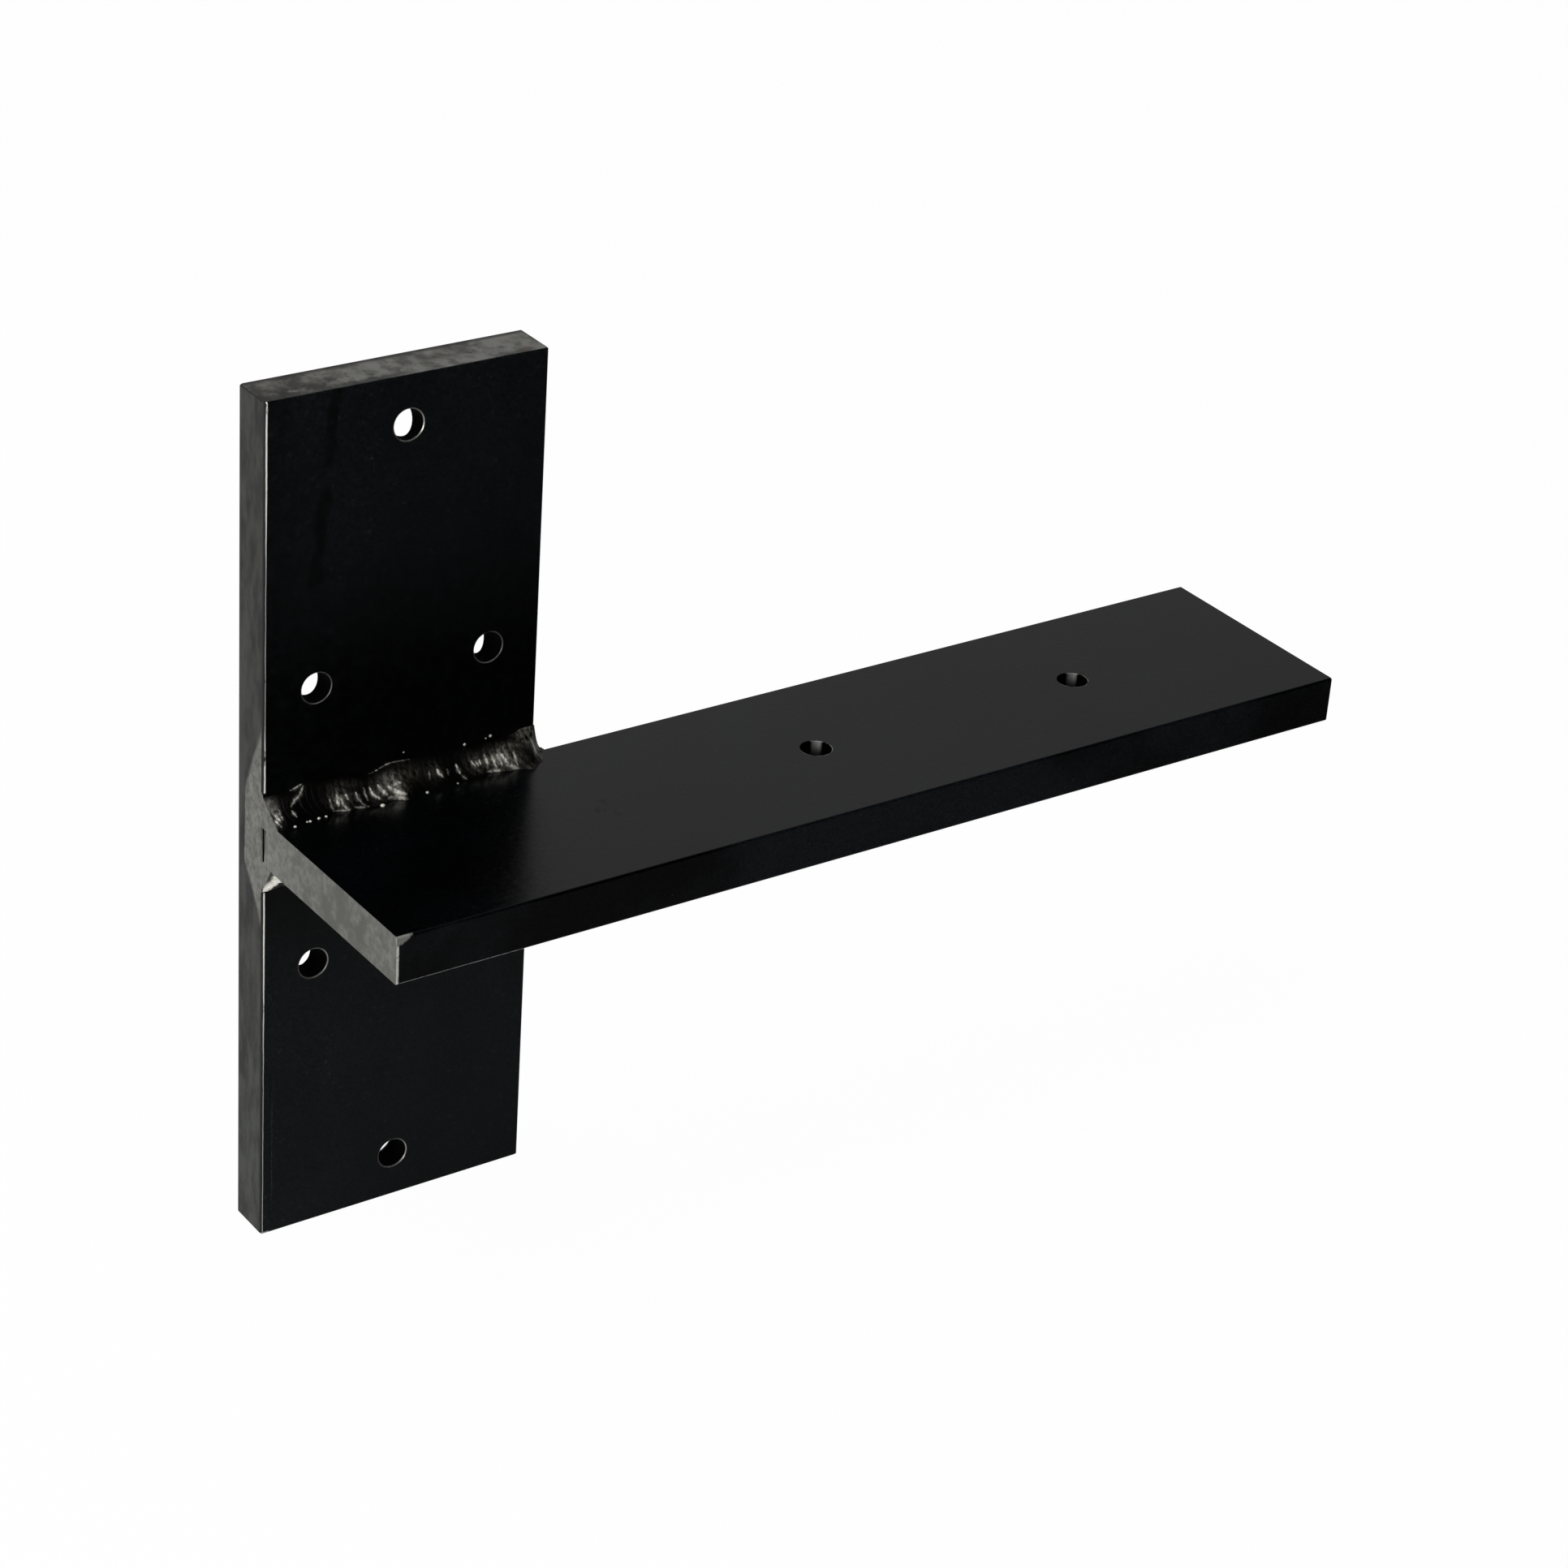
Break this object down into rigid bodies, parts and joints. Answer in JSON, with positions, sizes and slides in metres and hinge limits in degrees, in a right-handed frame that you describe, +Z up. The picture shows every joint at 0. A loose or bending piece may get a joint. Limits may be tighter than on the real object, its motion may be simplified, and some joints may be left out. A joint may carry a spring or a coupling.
{
  "type": "floating shelf bracket",
  "caption": "Welded flat-bar bracket: an upright wall plate with screw holes and a level arm, joined along one long edge, that reaches out sideways to carry a floating shelf.",
  "frame": {"origin": "centre of the wall plate's back face, which lies against the wall stud", "axes": "+X along the arm towards its free end, -Y out from the plate's front, +Z up"},
  "size_m": [0.2857, 0.077, 0.2286],
  "materials": {
    "plate_steel": "hot-rolled flat bar under black, half-glossy mill scale, bare and grey where its left edge was ground",
    "arm_steel": "hot-rolled flat bar under black mill scale, bare grey steel on its ground left end",
    "weld_metal": "as-welded rippled steel with dark scale and bright streaks"
  },
  "bodies": {
    "root": {"wall_plate": "plate_steel", "shelf_arm": "arm_steel", "upper_weld_bead": "weld_metal", "lower_weld_bead": "weld_metal"}
  },
  "joints": []
}
